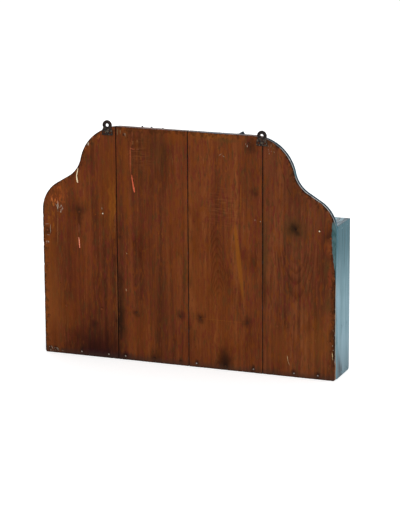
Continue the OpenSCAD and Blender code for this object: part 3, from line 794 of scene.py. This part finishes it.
def dark_iron():
    """Old iron plate: near black, rusty in places, dusty below its eye and brighter on the edges."""
    look = Look("dark_iron")
    rust = look.noise(look.at, 0.22, 6, 0.7)
    dust = look.noise(look.at, 0.34, 4, 0.6)
    pits = look.noise(look.at, 1.1, 5, 0.65)
    look.colour = look.mix(look.band(pits, 0.35, 0.7), IRON_BLACK, IRON_GREY)
    look.coat(IRON_RUST, look.band(rust, 0.5, 0.62, 0.0, 0.8))
    below_eye = look.band(look.part(2), 492.0, 484.0)
    look.coat(IRON_DUST, look.band(dust, 0.5, 0.6, 0.0, 0.75), below_eye)
    look.coat(IRON_BRIGHT, look.band(look.edge(0.8), 0.04, 0.3, 0.0, 0.3))
    roughness = look.band(rust, 0.35, 0.65, 0.45, 0.75)
    return look.finish(roughness, look.plus(rust, pits), depth=0.5, metallic=0.1, specular=0.15)


WOOD_STAIN = srgb(116, 60, 32)
# The dark and the light colour of the nails, and of their heads where they are bright: worn metal with a
# painted highlight
NAIL_TONES = (srgb(44, 25, 16), srgb(90, 52, 31))
NAIL_SHINE = srgb(160, 152, 144)
TOP_TONES = (srgb(78, 38, 20), srgb(106, 56, 28))
TOP_SHINE = srgb(236, 222, 194)
THROUGH_TONES = (srgb(116, 146, 156), srgb(140, 168, 178))
# x of the bright heads in two rows, and how near a nail has to be to count as the one at a place
BRIGHT = {"nails_bottom_row": (237, 175, 137, -21, -145, -231, -282), "nails_top_row": (183, -285)}
NEAR = 6
# x of the nail in the dark knot, and the rows with heads that the photograph doesn't show
KNOT_NAIL_X = -235
FAINT_ROWS = ("nails_shelf_row", "nails_top_row", "nails_side_left", "nails_side_right")


def bright_heads(row):
    """x and z of the bright heads of a row."""
    return [place for place in nail_places(row) if any(abs(place[0] - x) < NEAR for x in BRIGHT[row])]


def faint_heads(row):
    """x, z and colour of the heads that don't show, and so look like the wood round them."""
    top = row == "nails_top_row"
    found = []
    for x, z in nail_places(row):
        if top and abs(x - KNOT_NAIL_X) < NEAR:
            found.append((x, z, SOOT))
        elif row.startswith("nails_side") or (abs(x) < JOINTS[0]) == top:
            found.append((x, z, WOOD_STAIN))
    return found


def rusty_nail(name, tones, shine, bright, faint):
    """Rusty nails. The bright heads are worn and carry a painted highlight, and the faint ones have a colour
    of their own.
    """
    look = Look(name)
    rust = look.noise(look.at, 0.9, 5, 0.7)
    look.colour = look.ramp(rust, list(zip((0.35, 0.68), tones)))
    worn = look.band(rust, 0.62, 0.5)
    for x, z, tint in faint:
        near = look.band(look.on_back(look.at, x, z, 4.0, 4.0), 0.0, 0.1, 0.0, 0.9)
        look.coat(tint, near)
    # The bright heads: worn metal, lightened further as a painted highlight
    for x, z in bright:
        near = look.band(look.on_back(look.at, x, z, 2.6, 2.6), 0.2, 0.6)
        look.coat(shine, near, worn, 0.9)
    roughness = look.band(rust, 0.3, 0.7, 0.5, 0.85)
    return look.finish(roughness, rust, depth=0.15, metallic=0.1, specular=0.05)


def thick_paint(name, light, dark):
    """Spilt paint, dirty in its hollows."""
    look = Look(name)
    fleck = look.noise(look.at, 0.5, 5, 0.65)
    look.colour = look.mix(look.band(fleck, 0.4, 0.66), light, dark)
    return look.finish(look.band(fleck, 0.3, 0.7, 0.4, 0.65), fleck, depth=0.15, specular=0.06)


def sharp_edges(form):
    """Sharp edges in chains larger than a nail's hole, and the middles of the smaller chains."""
    left = {e for e in form.edges if len(e.link_faces) == 2 and e.calc_face_angle(0) > SHARP}
    kept, holes = set(), []
    while left:
        todo, chain = [left.pop()], []
        while todo:
            edge = todo.pop()
            chain.append(edge)
            near = {e for v in edge.verts for e in v.link_edges} & left
            left -= near
            todo += near
        points = [v.co for e in chain for v in e.verts]
        low, high = (Vector([pick(p[k] for p in points) for k in range(3)]) for pick in (min, max))
        if max(high - low) > HOLE_SIZE * MM:
            kept.update(chain)
        else:
            holes.append((low + high) / 2)
    return [e for e in form.edges if e in kept], holes


def cut_grid(form, low, high, cell, extra):
    """Cuts a closed mesh by planes a cell apart along each axis, and by those at the extra places."""
    for axis in range(3):
        count = max(1, round((high[axis] - low[axis]) / cell))
        places = [low[axis] + (high[axis] - low[axis]) * k / count for k in range(1, count)]
        across = Vector([float(k == axis) for k in range(3)])
        for place in places + [p for a, p in extra if a == axis]:
            bmesh.ops.bisect_plane(form, geom=form.verts[:] + form.edges[:] + form.faces[:],
                                   plane_co=across * place, plane_no=across, dist=ON_PLANE)


# How fine the waves of the faces and the dents of the edges are, in cycles a metre
WAVES = 22
DENTS = 150
# A nail's hole stays round: points this near to its middle aren't moved
HOLE_KEPT = 6
# Notches in the outer edges of the back: x of the edge, z, half height, depth
NOTCHES = [(HALF_W, 293, 5, 0.8), (HALF_W, 267, 6, 0.6), (HALF_W, 233, 6, 0.9), (HALF_W, 190, 5, 0.8),
           (HALF_W, 120, 8, 0.6), (-HALF_W, 40, 8, 1.6), (-HALF_W, 96, 4, 1.2), (-HALF_W, 150, 3, 1.0)]
# How far a notch runs towards the front, and how near to the edge the points lie that it moves
NOTCH_RUN = 5
NOTCH_NEAR = 2.5


def wear(form, holes, dent, wave, notches, seed):
    """Moves the points of a mesh inwards: in dents along the edges, in slight waves and in the notches."""
    form.normal_update()
    near_holes = kdtree.KDTree(len(holes))
    for number, hole in enumerate(holes):
        near_holes.insert(hole, number)
    near_holes.balance()
    shift = Vector((seed * 7.3, seed * 3.1, seed * 5.7))
    moves = []
    for vert in form.verts:
        if holes and near_holes.find(vert.co)[2] < HOLE_KEPT * MM:
            continue
        flat, upright = abs(vert.normal.y), math.hypot(vert.normal.x, vert.normal.z)
        on_edge = min(1.0, 2.2 * min(flat, upright))
        low = noise.noise(vert.co * WAVES + shift)
        fine = noise.noise(vert.co * DENTS + shift)
        depth = wave * (0.5 + 0.5 * low) + dent * on_edge * max(0.0, 1.5 * fine - 0.05)
        moves.append((vert, vert.normal * -depth * MM))
    for vert, move in moves:
        vert.co += move
    for x, z, half_h, reach in notches:
        for vert in form.verts:
            share = 1 - abs(vert.co.z / MM - z) / half_h
            from_side = abs(vert.co.x / MM - x)
            from_back = BACK_Y - vert.co.y / MM
            if share > 0 and from_side < NOTCH_NEAR and from_back < NOTCH_RUN:
                vert.co.x -= math.copysign(reach * share * (1 - from_back / NOTCH_RUN) * MM, x)


def back_contour():
    """A search tree of places 1 mm apart along the outer contour of the back, without the joints."""
    places = []
    for node in PLANKS:
        form = merged_form(node)
        for edge in sharp_edges(form)[0]:
            start, end = (vert.co / MM for vert in edge.verts)
            if min(start.y, end.y) > BACK_Y - 0.1 and min(abs((start.x + end.x) / 2 - j) for j in JOINTS) > 2:
                steps = max(1, math.ceil((end - start).length))
                places += [start.lerp(end, k / steps) for k in range(steps + 1)]
        form.free()
    tree = kdtree.KDTree(len(places))
    for number, place in enumerate(places):
        tree.insert((place.x, 0, place.z), number)
    tree.balance()
    return tree


def mark_contour(piece, tree):
    """Keeps on each point of a piece how far it is from the contour of the back, in millimetres."""
    found = [tree.find((v.co.x / MM, 0, v.co.z / MM))[2] for v in piece.data.vertices]
    piece.data.attributes.new("from_contour", "FLOAT", "POINT").data.foreach_set("value", found)


# Faces of a CAD mesh that turn less than this are one flat face
FLAT = math.radians(0.5)
# Edges that turn more than this look sharp, on the worn pieces and on the spilt paint
CREASE = math.radians(25)
PAINT_CREASE = math.radians(40)


def worn_copy(node, cell=6.0, radius=0.6, dent=0.7, wave=0.15, notches=(), seed=0):
    """A finer copy of a CAD node, with its edges rounded and dented and its faces a little uneven."""
    form = merged_form(node)
    bmesh.ops.dissolve_limit(form, angle_limit=FLAT, verts=form.verts, edges=form.edges)
    edges, holes = sharp_edges(form)
    bmesh.ops.bevel(form, geom=edges, offset=radius * MM, offset_type="OFFSET", segments=2, profile=0.5,
                    affect="EDGES", clamp_overlap=False, material=-1)
    low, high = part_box(node)
    notches = [n for n in notches if low.x - MM < n[0] * MM < high.x + MM]
    extra = [(2, (z + half_h * k / 2) * MM) for x, z, half_h, reach in notches for k in (-2, -1, 0, 1, 2)]
    cut_grid(form, low, high, cell * MM, extra)
    wear(form, holes, dent, wave, notches, seed)
    mesh = bpy.data.meshes.new("worn_" + node)
    form.to_mesh(mesh)
    form.free()
    mesh.shade_smooth()
    mesh.set_sharp_from_angle(angle=CREASE)
    return link_new("worn_" + node, mesh)


def take_place(node, material, **how):
    """Puts a worn copy in the place of a CAD node, with its body and a material."""
    piece = worn_copy(node, **how)
    piece.data.materials.append(material)
    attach(piece, BODY)
    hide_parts(node)
    return piece


def dress(node, material):
    """Gives a CAD node that stays its material."""
    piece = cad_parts[node]
    piece.data.materials.clear()
    piece.data.materials.append(material)


def add_piece(name, points, faces, material):
    """A new small piece of paint on the body, given in millimetres."""
    mesh = bpy.data.meshes.new(name)
    mesh.from_pydata([tuple(c * MM for c in p) for p in points], [], faces)
    mesh.shade_smooth()
    mesh.set_sharp_from_angle(angle=PAINT_CREASE)
    mesh.materials.append(material)
    piece = link_new(name, mesh)
    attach(piece, BODY)


def tube_faces(count, ring, turned=False):
    """Faces that join rings of points and close both ends. Turned, they face the other way."""
    faces = []
    for k in range(count - 1):
        for j in range(ring):
            a, b = k * ring + j, k * ring + (j + 1) % ring
            faces.append((a, a + ring, b + ring, b) if turned else (a, b, b + ring, a + ring))
    start, end = tuple(range(ring)), tuple(range((count - 1) * ring, count * ring))
    return faces + ([start, end[::-1]] if turned else [start[::-1], end])


# Steps across a run of paint, and how deep its rim is sunk
DOME = 6
SUNK = 0.6
# The light and the dark colour of the spilt paints
SPILT = {
    "vermilion": (srgb(214, 102, 70), srgb(184, 78, 50)),
    "rust_red": (srgb(158, 84, 52), srgb(132, 62, 36)),
    "cream": (srgb(248, 230, 192), srgb(224, 192, 146)),
    "coral": (srgb(240, 150, 118), srgb(206, 100, 70)),
}
# Runs of paint on the back: name, paint, how far it stands up, and its stops as x, z and half width
RUNS = [
    ("vermilion", "vermilion", 0.7, [(117.9, 394, 0.5), (117.2, 386, 1.1), (115.6, 376, 1.5),
                                     (113.6, 365, 1.9), (112.2, 358, 1.0)]),
    ("upper", "rust_red", 0.35, [(119.8, 452, 0.6), (120.6, 440, 0.9), (120.4, 424, 0.7), (120.8, 410, 0.4)]),
    ("bar", "rust_red", 0.3, [(121.5, 450, 0.6), (114.5, 447.6, 0.8), (110, 448.4, 0.3)]),
    ("cream", "cream", 0.6, [(237.4, 400, 0.5), (238.6, 393, 1.0), (240.6, 384, 1.0), (240.2, 377, 1.6),
                             (238.6, 369, 1.1)]),
    ("coral", "coral", 0.6, [(238.4, 254, 0.4), (237.6, 247, 1.0), (237.2, 239, 1.5), (236.6, 231, 0.8)]),
]
REMNANT_LIGHT = srgb(34, 50, 66)
REMNANT_DARK = srgb(22, 26, 34)
REMNANT_Y = (RAIL_Y + PLANK_Y) / 2
# Splintered remnants on the crest rail: x, half width, half depth, height, and where along it the peak is
REMNANTS = [(-110.5, 12, 4, 7.2, 0.25), (101, 7, 3, 4.8, 0.5), (81.5, 5, 3, 4.8, 0.5), (57, 5, 3, 4.8, 0.5)]


def smooth_path(stops, steps):
    """Places along a curve through the stops, given as x, z and half width."""
    places = []
    for k in range(len(stops) - 1):
        before, start, end, after = (Vector(stops[max(0, min(len(stops) - 1, k + j))]) for j in (-1, 0, 1, 2))
        for step in range(steps):
            t = step / steps
            square = (2 * before - 5 * start + 4 * end - after) * t ** 2
            cube = (3 * start - before - 3 * end + after) * t ** 3
            places.append(0.5 * (2 * start + (end - before) * t + square + cube))
    places.append(Vector(stops[-1]))
    return places


def paint_run(name, stops, rise, material, steps=5):
    """A raised run of paint on the back, domed across, along stops given as x, z and half width."""
    places = smooth_path(stops, steps)
    points = []
    for k, (x, z, half_w) in enumerate(places):
        before, after = places[max(0, k - 1)], places[min(len(places) - 1, k + 1)]
        way = Vector((after.x - before.x, after.y - before.y)).normalized()
        ragged = half_w * (1 + 0.35 * noise.noise(Vector((x, z, 3.0)) * 0.31))
        for j in range(DOME + 1):
            angle = math.pi * j / DOME
            out = ragged * math.cos(angle)
            up = rise * math.sin(angle) * min(1.0, half_w) if 0 < j < DOME else -SUNK
            points.append((x + way.y * out, BACK_Y + up, z - way.x * out))
    add_piece(name, points, tube_faces(len(places), DOME + 1), material)


def remnant(name, x, half_w, half_d, height, peak, seed, material):
    """A splintered lump on the crest rail: a low ragged ridge along X."""
    across, around = 9, 6
    points = []
    for k in range(across):
        t = k / (across - 1)
        side = t / peak if t < peak else (1 - t) / (1 - peak)
        rough = 1 + 0.5 * noise.noise(Vector((k * 0.9, seed, 0.3)))
        tall = height * max(0.04, side) * rough
        for j in range(around + 1):
            angle = math.pi * j / around
            thick = 1 + 0.2 * noise.noise(Vector((k * 1.7, j * 1.3, seed)))
            wide = half_d * (0.35 + 0.65 * math.sqrt(side)) * thick
            jagged = 1 + 0.35 * noise.noise(Vector((k * 2.1, j * 2.3, seed + 5)))
            up = tall * math.sin(angle) * jagged if 0 < j < around else -1
            points.append((x + half_w * (2 * t - 1), REMNANT_Y + wide * math.cos(angle), RAIL_Z + up))
    add_piece(name, points, tube_faces(across, around + 1, turned=True), material)


FLOOR_REACH = 12.0
FLOOR_DROP = 0.0002
FLOOR_GLOW = 0.45


def make_floor():
    """A white ground that the camera sees brighter than it is lit, just under the object."""
    mesh = bpy.data.meshes.new("floor")
    corners = [(x * FLOOR_REACH, y * FLOOR_REACH, 0) for x, y in ((-1, -1), (1, -1), (1, 1), (-1, 1))]
    mesh.from_pydata(corners, [], [(0, 1, 2, 3)])
    floor = link_new("floor", mesh)
    floor.location.z = -FLOOR_DROP
    look = Look("floor")
    settings = {"Base Color": (0.8, 0.8, 0.8, 1), "Emission Color": (1, 1, 1, 1), "Roughness": 0.9,
                "Specular IOR Level": 0.0}
    for name, value in settings.items():
        look.shader.inputs[name].default_value = value
    seen = look.node("ShaderNodeLightPath", {}, "Is Camera Ray")
    look.tree.links.new(look.times(seen, FLOOR_GLOW), look.shader.inputs["Emission Strength"])
    mesh.materials.append(look.material)


def make_world(level):
    """A plain bright room: white where the camera, a mirror or glass sees it, and softer as light."""
    world = bpy.data.worlds.new("studio")
    world.use_nodes = True
    bpy.context.scene.world = world
    nodes, links = world.node_tree.nodes, world.node_tree.links
    path = nodes.new("ShaderNodeLightPath")
    seen = path.outputs["Is Camera Ray"]
    for name in ("Is Glossy Ray", "Is Transmission Ray"):
        either = nodes.new("ShaderNodeMath")
        either.operation = "MAXIMUM"
        links.new(seen, either.inputs[0])
        links.new(path.outputs[name], either.inputs[1])
        seen = either.outputs[0]
    strength = nodes.new("ShaderNodeMapRange")
    strength.inputs["To Min"].default_value = level
    strength.inputs["To Max"].default_value = 1.0
    links.new(seen, strength.inputs["Value"])
    background = nodes["Background"]
    background.inputs["Color"].default_value = (1, 1, 1, 1)
    links.new(strength.outputs["Result"], background.inputs["Strength"])


def dress_planks():
    """Worn planks, bare behind."""
    contour = back_contour()
    for number, node in enumerate(PLANKS):
        plank = take_place(node, plank_wood(node), cell=5.0, notches=NOTCHES, seed=number)
        mark_contour(plank, contour)


def dress_box():
    """Worn and painted panels, boards, frame and crest rail."""
    for number, node in enumerate(["side_panel_left", "side_panel_right"]):
        take_place(node, painted_side(node), seed=10 + number)
    upright = painted_wood("paint_upright", "z", wear=1.7)
    for number, node in enumerate(["mirror_frame_left", "mirror_frame_right"]):
        take_place(node, upright, dent=0.4, seed=15 + number)
    lying = painted_wood("paint_lying", "x", wear=1.7)
    for number, node in enumerate(["top_board", "middle_shelf", "bottom_board", "mirror_frame_top",
                                   "mirror_frame_bottom"]):
        take_place(node, lying, dent=0.5, seed=20 + number)
    take_place("crest_rail", painted_wood("paint_crest", "x", dirt=0.9), dent=0.6, seed=25)


def dress_metal():
    """Worn iron plates, and the rusty nails and pins."""
    iron = dark_iron()
    for number, node in enumerate(["hanger_left", "hanger_right"]):
        take_place(node, iron, cell=2.0, radius=0.4, dent=0.25, wave=0.3, seed=30 + number)
    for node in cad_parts:
        if "nails" in node or node == "frame_pins":
            tones, shine = (TOP_TONES, TOP_SHINE) if node == "nails_top_row" else (NAIL_TONES, NAIL_SHINE)
            if "through" in node:
                tones = THROUGH_TONES
            bright = bright_heads(node) if node in BRIGHT else ()
            faint = faint_heads(node) if node in FAINT_ROWS else ()
            dress(node, rusty_nail("rust_" + node, tones, shine, bright, faint))


def add_spills():
    """The runs of paint on the back and the remnants on the crest rail."""
    paints = {name: thick_paint("spilt_" + name, *tones) for name, tones in SPILT.items()}
    for name, paint, rise, stops in RUNS:
        paint_run("paint_run_" + name, stops, rise, paints[paint])
    slate = thick_paint("remnant_paint", REMNANT_LIGHT, REMNANT_DARK)
    for number, (x, half_w, half_d, height, peak) in enumerate(REMNANTS, 1):
        remnant(f"crest_remnant_{number}", x, half_w, half_d, height, peak, number, slate)


place_camera()
make_world(level=0.75)
place_lamp("key", place=(-2.2, 2.6, 2.6), size=2.2, power=60)
place_lamp("front_fill", place=(1.6, -3.0, 2.2), size=2.4, power=30)
make_floor()
dress_planks()
dress_box()
dress_metal()
dress("mirror_glass", mirror_silver())
dress("mirror_backing", backing_sheet())
add_spills()
